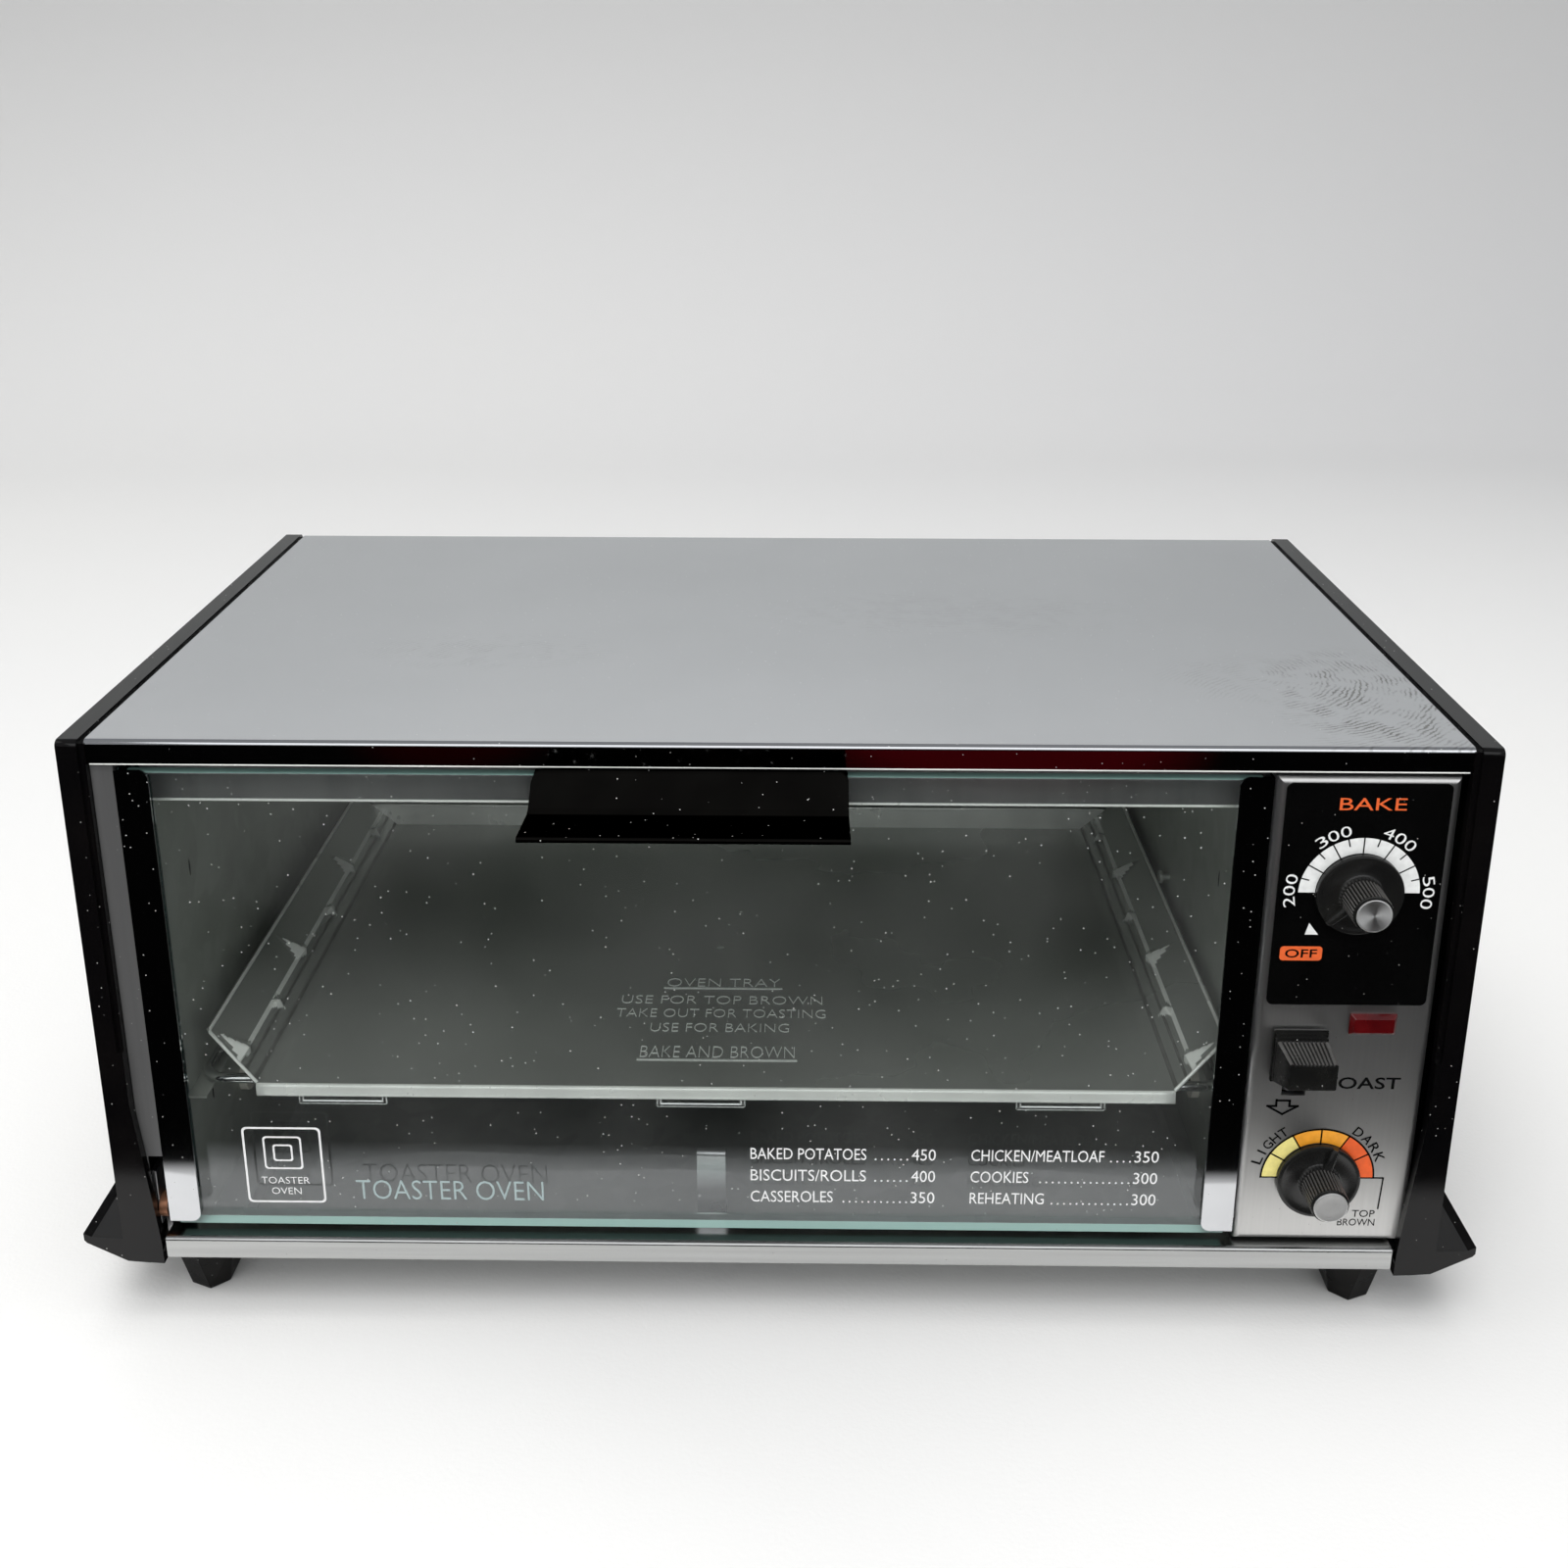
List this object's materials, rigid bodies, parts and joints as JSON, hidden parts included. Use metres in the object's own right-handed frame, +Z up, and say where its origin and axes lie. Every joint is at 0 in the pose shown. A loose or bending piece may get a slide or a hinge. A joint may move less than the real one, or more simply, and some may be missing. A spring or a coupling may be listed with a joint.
{
  "type": "toaster oven",
  "caption": "Low countertop toaster oven with a drop-down glass door, a tray on a sliding wire rack, two dials, a toast lever and a hinged crumb tray.",
  "frame": {"origin": "under the middle of the whole oven, door handle included, on the surface it stands on", "axes": "+X to the right as seen from the front, +Y to the back, +Z up"},
  "size_m": [0.4452, 0.2478, 0.2045],
  "materials": {
    "chrome_cover": "polished",
    "galvanised_steel": "dull",
    "cavity_steel": "dull",
    "black_moulding": "gloss",
    "bright_rail": "satin",
    "door_trim": "polished",
    "door_pane": "clear",
    "rack_wire": "bright",
    "tray_steel": "satin",
    "rod_sheath": "oxidised",
    "ceramic": "matte",
    "panel_face": "brushed",
    "overlay_black": "gloss",
    "red_lens": "gloss",
    "lamp_glass": "clear",
    "knob_black": "satin",
    "knob_cap": "spun",
    "plain_steel": "satin",
    "copper_bush": "satin",
    "switch_body": "matte",
    "lead_insulation": "matte",
    "black_bush": "matte"
  },
  "bodies": {
    "oven_body": {"top_cover": "chrome_cover", "rear_panel": "galvanised_steel", "left_end_panel": "black_moulding", "right_end_panel": "black_moulding", "base_pan": "galvanised_steel", "front_left_foot": "black_moulding", "front_right_foot": "black_moulding", "rear_left_foot": "black_moulding", "rear_right_foot": "black_moulding", "bottom_rail": "bright_rail", "left_jamb": "galvanised_steel", "header_rail": "galvanised_steel", "cavity_left_wall": "cavity_steel", "cavity_right_wall": "cavity_steel", "cavity_top": "cavity_steel", "cavity_back": "cavity_steel", "left_rack_guide": "cavity_steel", "right_rack_guide": "cavity_steel", "upper_front_element": "rod_sheath", "upper_rear_element": "rod_sheath", "lower_front_element": "rod_sheath", "lower_rear_element": "rod_sheath", "element_insulators": "ceramic", "left_hinge_bracket": "plain_steel", "right_hinge_bracket": "plain_steel", "left_hinge_bush": "copper_bush", "right_hinge_bush": "copper_bush", "control_panel": "panel_face", "dial_overlay": "overlay_black", "indicator_lens": "red_lens", "neon_lamp": "lamp_glass", "thermostat_body": "switch_body", "toast_timer_body": "switch_body", "lever_guide": "plain_steel", "terminal_block": "ceramic", "internal_wiring": "lead_insulation", "cord_bushing": "black_bush", "crumb_tray_pin": "plain_steel", "fixing_screws": "plain_steel"},
    "door": {"door_glass": "door_pane", "left_door_channel": "door_trim", "right_door_channel": "door_trim", "left_hinge_pin": "plain_steel", "right_hinge_pin": "plain_steel", "door_handle": "black_moulding", "handle_clip": "black_moulding", "handle_screws": "plain_steel"},
    "rack": {"wire_rack": "rack_wire", "oven_tray": "tray_steel"},
    "bake_knob": {"thermostat_shaft": "plain_steel", "bake_dial": "knob_black", "bake_dial_cap": "knob_cap"},
    "toast_knob": {"timer_shaft": "plain_steel", "toast_dial": "knob_black", "toast_dial_cap": "knob_cap"},
    "lever": {"toast_lever": "knob_black", "lever_slide": "plain_steel", "lever_spring": "plain_steel"},
    "crumb_drawer": {"crumb_tray": "galvanised_steel", "crumb_tray_latch": "plain_steel"}
  },
  "joints": [
    {"name": "door_hinge", "type": "hinge", "parent": "oven_body", "child": "door", "pos_m": [0, -0.0876, 0.04], "axis": [1, 0, 0], "range_deg": [0, 87]},
    {"name": "rack_slide", "type": "slide", "parent": "oven_body", "child": "rack", "axis": [0, -1, 0], "range_m": [0, 0.056]},
    {"name": "bake_turn", "type": "hinge", "parent": "oven_body", "child": "bake_knob", "pos_m": [0.1734, -0.1, 0.1571], "axis": [0, 1, 0], "range_deg": [0, 225]},
    {"name": "toast_turn", "type": "hinge", "parent": "oven_body", "child": "toast_knob", "pos_m": [0.1707, -0.1, 0.0566], "axis": [0, 1, 0], "range_deg": [-107, 117]},
    {"name": "lever_press", "type": "slide", "parent": "oven_body", "child": "lever", "axis": [0, 0, -1], "range_m": [0, 0.009], "stiffness_N_per_m": 400, "springref_m": -0.004, "deforming": ["lever_spring"]},
    {"name": "crumb_tray_hinge", "type": "hinge", "parent": "oven_body", "child": "crumb_drawer", "pos_m": [0, 0.1054, 0.0256], "axis": [1, 0, 0], "range_deg": [0, 60]}
  ],
  "couplings": [
    {"joint": "rack_slide", "follows": "door_hinge", "m_per_rad": 0.0365}
  ]
}
